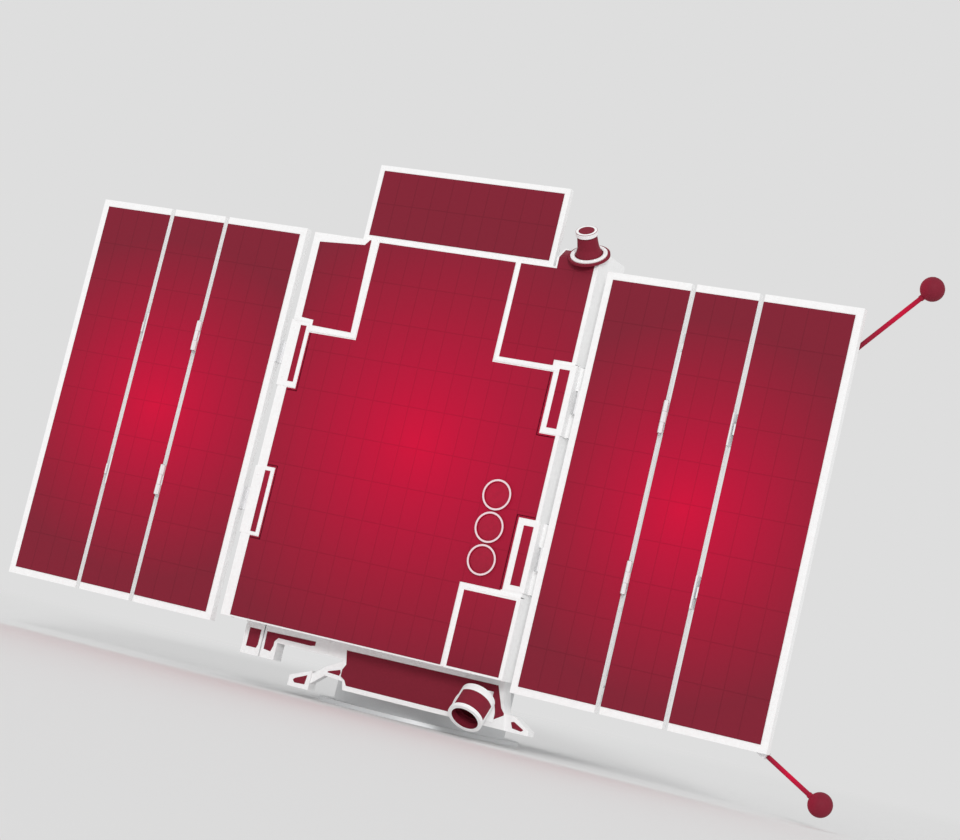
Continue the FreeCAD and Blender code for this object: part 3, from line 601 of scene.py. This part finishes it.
def wrapBaffle(place):
    wrap = baffle["wrap"]
    shape = bmesh.new()
    corners = [shape.verts.new((radius * mm, 0, height * mm)) for radius, height in wrap["profile"]]
    wire = [shape.edges.new(pair) for pair in zip(corners, corners[1:] + corners[:1])]
    sweep = math.radians(wrap["to"] - wrap["from"])
    bmesh.ops.spin(shape, geom=corners + wire, cent=(0, 0, 0), axis=(0, 0, 1), angle=sweep, steps=wrap["steps"])
    bmesh.ops.holes_fill(shape, edges=[edge for edge in shape.edges if len(edge.link_faces) < 2], sides=0)
    start = Matrix.Rotation(math.radians(wrap["from"]), 4, "Z")
    bmesh.ops.transform(shape, matrix=place @ start, verts=shape.verts)
    settle(shape, "baffle_wrap", "bus", *crimsonCover)


def addDoubler():
    # a disc that is cut off level at the bay's lower edge
    doubler = baffle["doubler"]
    x, y = doubler["centre"]
    radius = doubler["radius"]
    below = doubler["foot"] - y
    start = math.atan2(below, math.sqrt(radius ** 2 - below ** 2))
    sweep = math.pi - 2 * start
    angles = [start + sweep * step / doubler["steps"] for step in range(doubler["steps"] + 1)]
    outline = [(x + radius * math.cos(angle), y + radius * math.sin(angle)) for angle in angles]
    place = plane("front", 0, solids["unitFront"] - doubler["behind"], solids["deck"])
    addPlate("baffle_doubler", "bus", outline, place, doubler["thick"], doubler["edge"], *whiteCover)


def trimBaffle():
    place = tilted(*baffle["base"], "X", baffle["tilt"])
    addTurned("baffle_stop", "bus", baffle["stop"], [place], baffle["fineSteps"], *whiteCover)
    addTurned("baffle_liner", "bus", baffle["liner"], [place], baffle["fineSteps"], *crimsonCover)
    wrapBaffle(place)
    vanes = [moved(place, 0, 0, height) for height in baffle["vaneHeights"]]
    addTurned("baffle_vanes", "bus", baffle["vanes"], vanes, baffle["steps"], *crimsonCover)
    addTurned("baffle_lens", "bus", baffle["lens"], [place], baffle["steps"], *crimsonCover)
    addDoubler()


# pin heads at both ends of each hinge pin: radius and height, half the pin's length, and the unit profile
pinHead = {"root": (4.2, 2.0), "line": (3.6, 1.6), "rootHalf": 67, "lineHalf": 30, "steps": 24,
           "profile": [(0, 0), (1, 0), (1, 0.5), (0.75, 0.9), (0, 1)]}


def addPinHeads(name, body, x, y, half, size):
    radius, height = size
    profile = [(radius * across, height * up) for across, up in pinHead["profile"]]
    places = [plane(way, x, y, middle + end) for middle in solids["hingeHeights"]
              for way, end in (("up", half), ("down", -half))]
    addTurned(name, body, profile, places, pinHead["steps"], "groundSteel", "steel")


# leaves on the backs of the panels at each hinge line, and three screws in each: how far from the line they
# start and reach, and the screws' places as shares of the leaf
leaf = {"root": 330, "gap": 5, "reach": 26, "half": 24, "thick": 1.2, "edge": 0.4, "screw": 1.9,
        "screwAcross": 0.55, "screwUp": 0.68}


def addLeaves(name, body, x, away):
    shape = bmesh.new()
    screws = bmesh.new()
    for middle in solids["hingeHeights"]:
        place = plane("back", x, solids["wingBack"], middle)
        # seen from behind, local X runs the other way
        near, far = sorted((0, -away * leaf["reach"]))
        outline = rectangle(near, -leaf["half"], far, leaf["half"])
        raisePlate(shape, outline, place, leaf["thick"], leaf["edge"])
        for step in (-1, 0, 1):
            across = -away * leaf["reach"] * leaf["screwAcross"]
            spot = moved(place, across, step * leaf["half"] * leaf["screwUp"], leaf["thick"])
            screwHead(screws, spot, leaf["screw"])
    settle(shape, name, body, *alloyPart)
    settle(screws, name + "_screws", body, *steelPart)


def fitHinges():
    for side, sign in sides:
        lineOne, lineTwo = solids[side + "Lines"]
        root = sign * solids["rootAxis"]
        gap = sign * leaf["gap"]
        addPinHeads(f"pin_heads_{side}_root", "bus", root, solids["backAxis"], pinHead["rootHalf"],
                    pinHead["root"])
        addPinHeads(f"pin_heads_{side}_first", side + "_inner", lineOne, solids["frontAxis"],
                    pinHead["lineHalf"], pinHead["line"])
        addPinHeads(f"pin_heads_{side}_second", side + "_middle", lineTwo, solids["backAxis"],
                    pinHead["lineHalf"], pinHead["line"])
        addLeaves(f"leaf_{side}_root", side + "_inner", sign * leaf["root"], sign)
        addLeaves(f"leaf_{side}_first_near", side + "_inner", lineOne - gap, -sign)
        addLeaves(f"leaf_{side}_first_far", side + "_middle", lineOne + gap, sign)
        addLeaves(f"leaf_{side}_second_near", side + "_middle", lineTwo - gap, -sign)
        addLeaves(f"leaf_{side}_second_far", side + "_outer", lineTwo + gap, sign)


# diode boards on the backs of the wing panels
board = {
    "halfWidth": 8, "halfHeight": 90, "thick": 1.6, "edge": 0.4, "height": 500,
    "diodes": 7, "diode": 2.2, "diodeReach": 75,
    "middles": {"right": (415, 571, 735), "left": (-425, -588, -744)},
}


def fitBoards():
    outline = rectangle(-board["halfWidth"], -board["halfHeight"], board["halfWidth"], board["halfHeight"])
    heights = spread(-board["diodeReach"], board["diodeReach"], board["diodes"])
    for side, middles in board["middles"].items():
        for strip, x in zip(strips, middles):
            body = f"{side}_{strip}"
            place = plane("back", x, solids["wingBack"], board["height"])
            addPlate(f"board_{body}", body, outline, place, board["thick"], board["edge"], *alloyPart)
            spots = [moved(place, 0, height, board["thick"]) for height in heights]
            addScrews(f"diodes_{body}", body, spots, board["diode"], *steelPart)


# which of x, y and z stays the same on a panel that looks along a direction
fixedAxis = {"right": 0, "left": 0, "back": 1, "up": 2, "down": 2}


def edgeSpots(direction, fixed, left, right, low, high, columns, rows, skip):
    # planes along a panel's rim, for its screws or inserts
    spots = []
    for across in spread(left, right, columns):
        for height in spread(low, high, rows):
            onRim = across in (left, right) or height in (low, high)
            if onRim and not (skip and skip(across, height)):
                spot = [across, height]
                spot.insert(fixedAxis[direction], fixed)
                spots.append(plane(direction, *spot))
    return spots


# potted inserts round the backs of the honeycomb panels, away from the probes' clamps, and hold-down cups where
# the pads meet the wings
inserts = {"margin": 12, "pitch": 95, "steps": 16, "clampFrom": 790, "clampHeights": ((0, 140), (780, 850)),
           "profile": [(0, 0), (4.5, 0), (4.5, 0.2), (4.2, 0.4), (2, 0.4), (0, 0.2)]}
cups = {"x": 423, "heights": (200, 816), "steps": 32,
        "profile": [(5, 0), (13, 0), (13, 0.7), (12.5, 1), (7, 1), (5, 0.3)]}


def underClamp(x, height):
    return x > inserts["clampFrom"] and any(low < height < high for low, high in inserts["clampHeights"])


def fitInserts():
    panels = {f"wing_{side}_{strip}": f"{side}_{strip}" for side, sign in sides for strip in strips}
    panels["top_screen"] = "bus"
    margin = inserts["margin"]
    for node, body in panels.items():
        low, high = [[value / mm for value in corner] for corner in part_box(node)]
        columns, rows = [round((high[axis] - low[axis] - 2 * margin) / inserts["pitch"]) + 1 for axis in (0, 2)]
        places = edgeSpots("back", high[1], low[0] + margin, high[0] - margin, low[2] + margin,
                           high[2] - margin, columns, rows, underClamp)
        addTurned(f"inserts_{node}", body, inserts["profile"], places, inserts["steps"], *alloyPart)
    for side, sign in sides:
        places = [plane("back", sign * cups["x"], solids["wingBack"], height) for height in cups["heights"]]
        addTurned(f"hold_down_cups_{side}", side + "_inner", cups["profile"], places, cups["steps"], *alloyPart)


# screws round the panels of the closed box: direction and place of the plane, left, right, low, high, columns,
# rows and radius; none lies under the antenna's tower, and the floor's are painted over
panelScrews = {
    "right_wall": ("right", 310, -258, 276, 156, 860, 10, 13, 3.2),
    "right_decks": ("right", 311.2, -250, 276, 130, 886, 9, 2, 2.6),
    "left_wall": ("left", -310, -258, 276, 156, 860, 10, 13, 3.2),
    "left_decks": ("left", -311.2, -250, 276, 130, 886, 9, 2, 2.6),
    "back_wall": ("back", 312, -268, 268, 152, 864, 10, 13, 3.2),
    "back_edges": ("back", 313.2, -276, 276, 130, 886, 9, 2, 2.6),
    "roof": ("up", 896, -298, 298, -286, 300, 11, 11, 3.2),
    "floor": ("down", 120, -298, 298, -300, 300, 11, 11, 3.2),
}
tower = {"left": 130, "back": -190}


def underTower(x, y):
    return y < tower["back"] and x > tower["left"]


def screwPanels():
    for name, (*rim, radius) in panelScrews.items():
        spots = edgeSpots(*rim, underTower if name == "roof" else None)
        look = ("whiteSilicatePaint", "wall_skin") if name == "floor" else steelPart
        addScrews(f"screws_{name}", "bus", spots, radius, *look)


# alloy angles along the box's rear edges, and flat rails over the deck edges between them
edgeAngle = {"leg": 22, "wall": 1.4, "above": 1, "length": 774, "edge": 0.4}
deckRail = {"heights": (120.6, 876.6), "front": -262, "rear": 288, "halfBack": 286, "width": 18.8, "thick": 1.2,
            "edge": 0.3}


def fitEdgeAngles():
    leg = edgeAngle["leg"]
    wall = edgeAngle["wall"]
    side = solids["side"]
    back = solids["back"]
    shape = bmesh.new()
    for sign in (-1, 1):
        corners = [(0, 0), (0, leg), (wall, leg), (wall, -wall), (-leg, -wall), (-leg, 0)]
        outline = [(sign * (side + x), back - y) for x, y in corners]
        place = plane("up", 0, 0, solids["deck"] + edgeAngle["above"])
        raisePlate(shape, outline, place, edgeAngle["length"], edgeAngle["edge"])
    right = rectangle(deckRail["front"], 0, deckRail["rear"], deckRail["width"])
    rails = {
        "right": (side, 0, right), "left": (-side, 0, [(-x, y) for x, y in reversed(right)]),
        "back": (0, back, rectangle(-deckRail["halfBack"], 0, deckRail["halfBack"], deckRail["width"])),
    }
    for height in deckRail["heights"]:
        for direction, (x, y, rail) in rails.items():
            raisePlate(shape, rail, plane(direction, x, y, height), deckRail["thick"], deckRail["edge"])
    settle(shape, "edge_angles", "bus", *alloyPart)


# a test connector panel on the left wall, low at the back: capped connectors with their place and radius, a
# cap's unit profile, and screws above and below
connectors = {
    "place": (-310, 190, 235), "halfWidth": 80, "halfHeight": 38, "thick": 2, "edge": 0.5,
    "caps": [(-50, 0, 17), (-6, 0, 17), (42, 0, 22)], "capHeight": 13, "capSteps": 36,
    "knurl": [(0, 0), (1.12, 0), (1.12, 0.15), (1.0, 0.2), (1.0, 0.85), (0.94, 0.95), (0.5, 1.0), (0.3, 0.9),
              (0, 0.88)],
    "inset": 6, "columns": 5, "screw": 2.4,
}


def fitConnectors():
    place = plane("left", *connectors["place"])
    halfWidth = connectors["halfWidth"]
    halfHeight = connectors["halfHeight"]
    thick = connectors["thick"]
    outline = rectangle(-halfWidth, -halfHeight, halfWidth, halfHeight)
    addPlate("connector_panel", "bus", outline, place, thick, connectors["edge"], *alloyPart)
    shape = bmesh.new()
    for x, y, radius in connectors["caps"]:
        profile = [(across * radius, up * connectors["capHeight"]) for across, up in connectors["knurl"]]
        spinProfile(shape, profile, moved(place, x, y, thick), connectors["capSteps"])
    settle(shape, "connector_caps", "bus", "groundSteel", "steel")
    reach = halfWidth - connectors["inset"]
    rise = halfHeight - connectors["inset"]
    spots = [moved(place, x, y, thick) for x in spread(-reach, reach, connectors["columns"])
             for y in (-rise, rise)]
    addScrews("connector_screws", "bus", spots, connectors["screw"], *steelPart)


# an access hatch on the right wall, low at the back, on a doubler with screws, with a quarter-turn lock in each
# corner
hatch = {
    "place": (310, 150, 250), "halfWidth": 90, "halfHeight": 60, "corner": 14, "thick": 1.6, "edge": 0.5,
    "rim": 12, "doubler": 0.8, "doublerEdge": 0.3, "lock": 5.5, "lockInset": 12,
    "columns": 6, "screwOut": 6, "screw": 2,
}


def roundedRectangle(halfWidth, halfHeight, corner, steps=6):
    outline = []
    for turn, (x, y) in enumerate(((1, 1), (-1, 1), (-1, -1), (1, -1))):
        for step in range(steps + 1):
            angle = math.pi / 2 * (turn + step / steps)
            outline.append((x * (halfWidth - corner) + corner * math.cos(angle),
                            y * (halfHeight - corner) + corner * math.sin(angle)))
    return outline


def fitHatch():
    place = plane("right", *hatch["place"])
    halfWidth = hatch["halfWidth"]
    halfHeight = hatch["halfHeight"]
    rim = hatch["rim"]
    outline = roundedRectangle(halfWidth + rim, halfHeight + rim, hatch["corner"] + rim)
    addPlate("hatch_doubler", "bus", outline, place, hatch["doubler"], hatch["doublerEdge"], *alloyPart)
    outer = moved(place, 0, 0, hatch["doubler"])
    outline = roundedRectangle(halfWidth, halfHeight, hatch["corner"])
    addPlate("hatch_cover", "bus", outline, outer, hatch["thick"], hatch["edge"], "whiteSilicatePaint",
             "wall_skin")
    across = halfWidth - hatch["lockInset"]
    up = halfHeight - hatch["lockInset"]
    spots = [moved(outer, x, y, hatch["thick"]) for x in (-across, across) for y in (-up, up)]
    addScrews("hatch_locks", "bus", spots, hatch["lock"], *steelPart)
    rise = halfHeight + hatch["screwOut"]
    spots = [moved(place, x, y, hatch["doubler"]) for x in spread(-halfWidth, halfWidth, hatch["columns"])
             for y in (-rise, rise)]
    addScrews("hatch_screws", "bus", spots, hatch["screw"], *steelPart)


# hoist bosses on the roof, with a bore each
hoist = {"places": [(-240, -180), (-240, 240), (240, -160), (240, 240)], "steps": 36,
         "profile": [(6, 0), (15, 0), (15, 3), (14, 4), (7, 4), (6, 3.4)]}


def fitHoistBosses():
    places = [plane("up", x, y, solids["roof"]) for x, y in hoist["places"]]
    addTurned("hoist_bosses", "bus", hoist["profile"], places, hoist["steps"], *alloyPart)


# bolts under the launch ring's upper flange, on its bolt circle
ringBolts = {"count": 12, "circle": 190.5, "height": 112, "radius": 6.5}


def boltRing():
    spots = []
    for step in range(ringBolts["count"]):
        angle = math.tau * (step + 0.5) / ringBolts["count"]
        spots.append(plane("down", ringBolts["circle"] * math.cos(angle), ringBolts["circle"] * math.sin(angle),
                           ringBolts["height"]))
    addScrews("ring_bolts", "bus", spots, ringBolts["radius"], *steelPart)


# angle strips that hold the screen's gussets and the antenna's tower to the roof: a flat and an upright strip
# on both sides of each gusset with their start, height and length, two strips at the tower's left and rear, and
# the screws through their feet
angleStrip = {
    "leg": 12, "wall": 2, "edge": 0.5, "gussets": (-150, 150), "gussetHalf": 3,
    "gussetStrips": (("back", -297, 896, 80), ("up", -298, 912, 84)),
    "towerStrips": (("back", 222, -296, 82), ("right", 224, -212, 84)),
    "screw": 1.8, "foot": 898, "screwOut": 10, "gussetScrews": (-270, -250, -230),
    "towerScrews": ((215, -280), (215, -254), (215, -228), (238, -205), (266, -205), (294, -205)),
}


def stripProfile(start, sign):
    leg = angleStrip["leg"]
    wall = angleStrip["wall"]
    corners = [(0, 0), (leg, 0), (leg, wall), (wall, wall), (wall, leg), (0, leg)]
    outline = [(start + sign * x, y) for x, y in corners]
    return outline if sign > 0 else outline[::-1]


def stripRoof():
    edge = angleStrip["edge"]
    foot = angleStrip["foot"]
    shape = bmesh.new()
    screws = bmesh.new()
    for middle in angleStrip["gussets"]:
        for sign in (-1, 1):
            profile = stripProfile(sign * angleStrip["gussetHalf"], sign)
            for direction, y, height, length in angleStrip["gussetStrips"]:
                raisePlate(shape, profile, plane(direction, middle, y, height), length, edge)
            x = middle + sign * angleStrip["screwOut"]
            for y in angleStrip["gussetScrews"]:
                screwHead(screws, plane("up", x, y, foot), angleStrip["screw"])
    for direction, x, y, length in angleStrip["towerStrips"]:
        raisePlate(shape, stripProfile(0, 1), plane(direction, x, y, solids["roof"]), length, edge)
    for x, y in angleStrip["towerScrews"]:
        screwHead(screws, plane("up", x, y, foot), angleStrip["screw"])
    settle(shape, "roof_strips", "bus", *alloyPart)
    settle(screws, "roof_strip_screws", "bus", *steelPart)


# screws in the white borders of covers, brackets and units on the front side: plane, radius and places in x and
# height above the deck
frontScrews = {
    "covers": (-328, 1.7, [(-302, 710), (-302, 770), (-240, 770.5), (-174, 700), (-174, 640), (-302, 640),
                           (305.5, 640), (305.5, 700), (305.5, 760), (148.5, 640), (148.5, 700), (305.5, 100),
                           (305.5, 50), (189.5, 40), (189.5, 110), (240, 151)]),
    "brackets": (-328, 1.9, [(-304, 180), (-304, 282), (-304, 480), (-304, 580), (275, 180), (275, 282),
                             (275, 480), (275, 580)]),
    "units": (-250, 1.6, [(-288, -6), (-256, -6), (-288, -58), (-256, -58), (-231, -58), (-100, -5),
                          (-100, -24), (-180, -25), (0, -84), (100, -84), (200, -84), (0, -5), (100, -5),
                          (200, -5), (-130, -100), (-165, -100)]),
}


def screwFront():
    for name, (y, radius, points) in frontScrews.items():
        spots = [plane("front", x, y, solids["deck"] + height) for x, height in points]
        addScrews(f"screws_front_{name}", "bus", spots, radius, *whiteCover)


# probe rods: sleeves with a painted highlight from the clamp to the ball, and a guard ring where the rod enters
# the ball; sleeves and rings are measured from the ball's middle
probes = {
    "upper": {"ball": (932, -298, 958), "lean": 41.6, "sleeve": (-166, -27)},
    "lower": {"ball": (932, -298, 41), "lean": 118.4, "sleeve": (-122, -27)},
    "bore": 3.9, "radius": 4.35, "taper": 0.5, "steps": 24,
    "guard": [(4, -27.5), (5, -27.1), (5.5, -26), (5.5, -21), (4, -20)],
}


def sleeveProbes():
    bore = probes["bore"]
    radius = probes["radius"]
    for name in ("upper", "lower"):
        probe = probes[name]
        place = tilted(*probe["ball"], "Y", probe["lean"])
        start, end = probe["sleeve"]
        tube = [(bore, start), (radius, start + probes["taper"]), (radius, end), (bore, end)]
        addTurned(f"rod_sleeve_{name}", "right_outer", tube, [place], probes["steps"], "crimsonSleeve", "probe")
        addTurned(f"guard_ring_{name}", "right_outer", probes["guard"], [place], probes["steps"],
                  "crimsonConductivePaint", "probe")


# a pale floor that fades into the backdrop, both in metres, even light from all round, and one soft sun
stageLook = {"backdrop": "#DEDEDE", "floor": "#EEEEEE", "size": 60, "fade": 6.0, "fadeEnd": 0.6,
             "ambient": 0.73, "sun": 1.15, "sunFrom": (0.55, -1.0, 0.32), "sunWidth": 12}


def layFloor():
    bpy.ops.mesh.primitive_plane_add(size=stageLook["size"], location=(0, 0, 0))
    floor = bpy.context.active_object
    floor.name = "floor"
    material, tree, place = newMaterial("paleFloor")
    far = addNode(tree, "ShaderNodeMapping", {
        "vector_type": "TEXTURE", "Scale": (stageLook["fade"], stageLook["fade"], 1000),
    }, {"Vector": place.outputs["Object"]})
    glow = addNode(tree, "ShaderNodeTexGradient", {"gradient_type": "SPHERICAL"}, {"Vector": far.outputs[0]})
    ramp = addNode(tree, "ShaderNodeValToRGB", links={"Fac": glow.outputs["Fac"]})
    ramp.color_ramp.interpolation = "EASE"
    ramp.color_ramp.elements[1].position = stageLook["fadeEnd"]
    plain = addNode(tree, "ShaderNodeBsdfDiffuse", {"Color": linear(stageLook["floor"])})
    clear = addNode(tree, "ShaderNodeBsdfTransparent")
    mix = addNode(tree, "ShaderNodeMixShader",
                  links={"Fac": ramp.outputs["Color"], 1: clear.outputs[0], 2: plain.outputs[0]})
    addNode(tree, "ShaderNodeOutputMaterial", links={"Surface": mix.outputs[0]})
    floor.data.materials.append(material)


def lightStudio():
    # the backdrop's own colour is what the camera, gloss and glass see; the object is lit by plain white
    world = bpy.data.worlds.new("studio")
    bpy.context.scene.world = world
    world.use_nodes = True
    tree = world.node_tree
    tree.nodes.clear()
    rays = addNode(tree, "ShaderNodeLightPath")
    seen = rays.outputs["Is Camera Ray"]
    for name in ("Is Glossy Ray", "Is Transmission Ray"):
        either = addNode(tree, "ShaderNodeMath", {"operation": "MAXIMUM"}, {0: seen, 1: rays.outputs[name]})
        seen = either.outputs[0]
    light = addNode(tree, "ShaderNodeBackground", {"Color": (1, 1, 1, 1), "Strength": stageLook["ambient"]})
    shown = addNode(tree, "ShaderNodeBackground", {"Color": linear(stageLook["backdrop"]), "Strength": 1})
    mix = addNode(tree, "ShaderNodeMixShader", links={"Fac": seen, 1: light.outputs[0], 2: shown.outputs[0]})
    addNode(tree, "ShaderNodeOutputWorld", links={"Surface": mix.outputs[0]})
    sun = bpy.data.lights.new("sun", "SUN")
    sun.energy = stageLook["sun"]
    sun.angle = math.radians(stageLook["sunWidth"])
    lamp = placed("sun", sun)
    lamp.rotation_euler = Vector(stageLook["sunFrom"]).to_track_quat("Z", "Y").to_euler()


bpy.context.scene.view_settings.view_transform = "Standard"
placeCamera()
report("camera")
dressNodes()
report("materials")
bondSheets()
closeSeams()
fitWindows()
screwFront()
report("front")
trimAntenna()
trimBaffle()
sleeveProbes()
report("antenna, baffle and probes")
fitHinges()
fitBoards()
fitInserts()
report("wings")
screwPanels()
boltRing()
stripRoof()
fitEdgeAngles()
fitConnectors()
fitHatch()
fitHoistBosses()
report("closed sides")
layFloor()
lightStudio()
report("stage")
